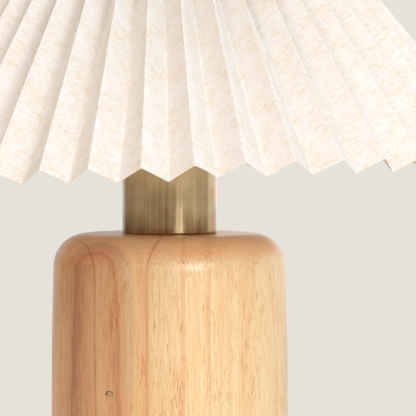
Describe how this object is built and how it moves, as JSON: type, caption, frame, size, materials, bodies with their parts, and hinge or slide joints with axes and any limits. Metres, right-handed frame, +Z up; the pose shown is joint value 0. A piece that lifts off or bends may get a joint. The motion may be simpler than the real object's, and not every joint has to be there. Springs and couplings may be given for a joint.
{
  "type": "wooden table lamp",
  "caption": "Table lamp with a turned wooden base, brushed brass neck, screw lampholder with bulb and a wide pleated linen cone shade on a wire frame.",
  "frame": {"origin": "centre of the underside of the foot pad, on the surface that the lamp stands on", "axes": "+Z up along the base's axis, -Y the front that the picture shows, +Y the cord inlet at the back"},
  "size_m": [0.2817, 0.2814, 0.2956],
  "materials": {
    "lacquered_wood": "turned rubberwood, clear satin lacquer",
    "antique_brass": "satin brushed brass with a warm lacquer",
    "linen": "natural linen weave bonded to a stiff white backing",
    "white_wire": "white powder-coated steel wire",
    "black_plastic": "moulded, matt",
    "contact_brass": "plain stamped brass",
    "porcelain": "glazed porcelain",
    "zinc_steel": "zinc-plated steel",
    "foot_rubber": "closed-cell foam rubber",
    "bulb_metal": "rolled aluminium",
    "black_glass": "fused black insulator",
    "white_plastic": "moulded white plastic",
    "opal_plastic": "opal diffuser, satin"
  },
  "bodies": {
    "lamp": {"foot_pad": "foot_rubber", "ballast_plate": "zinc_steel", "wooden_base": "lacquered_wood", "cord_bush": "black_plastic", "threaded_tube": "contact_brass", "base_washer": "zinc_steel", "lock_washer": "zinc_steel", "base_nut": "zinc_steel", "brass_cup": "antique_brass", "cup_washer": "zinc_steel", "cup_nut": "zinc_steel", "holder_cap": "black_plastic", "tube_lock_screw": "contact_brass", "porcelain_block": "porcelain", "terminal_clamps": "contact_brass", "terminal_screws": "contact_brass", "centre_contact": "contact_brass", "screw_shell": "contact_brass", "holder_body": "black_plastic"},
    "clamp_ring": {"shade_ring": "black_plastic"},
    "shade": {"fitter_ring": "white_wire", "frame_arms": "white_wire", "top_ring": "white_wire", "bottom_ring": "white_wire", "frame_ribs": "white_wire", "pleated_shade": "linen"},
    "bulb_carrier": {"bulb_tip": "contact_brass"},
    "bulb": {"bulb_insulator": "black_glass", "bulb_cap": "bulb_metal", "bulb_housing": "white_plastic", "light_board": "bulb_metal", "bulb_globe": "opal_plastic"}
  },
  "joints": [
    {"name": "ring_turn", "type": "hinge", "parent": "lamp", "child": "clamp_ring", "pos_m": [0, 0, 0.2176], "axis": [0, 0, 1], "range_deg": [0, 720]},
    {"name": "shade_turn", "type": "hinge", "parent": "lamp", "child": "shade", "pos_m": [0, 0, 0.2125], "axis": [0, 0, 1], "continuous": true},
    {"name": "bulb_rise", "type": "slide", "parent": "lamp", "child": "bulb_carrier", "axis": [0, 0, 1], "range_m": [0, 0.00908]},
    {"name": "bulb_turn", "type": "hinge", "parent": "bulb_carrier", "child": "bulb", "pos_m": [0, 0, 0.2174], "axis": [0, 0, 1], "range_deg": [0, 900]}
  ],
  "couplings": [
    {"joint": "bulb_rise", "follows": "bulb_turn", "m_per_rad": 0.00057757}
  ]
}
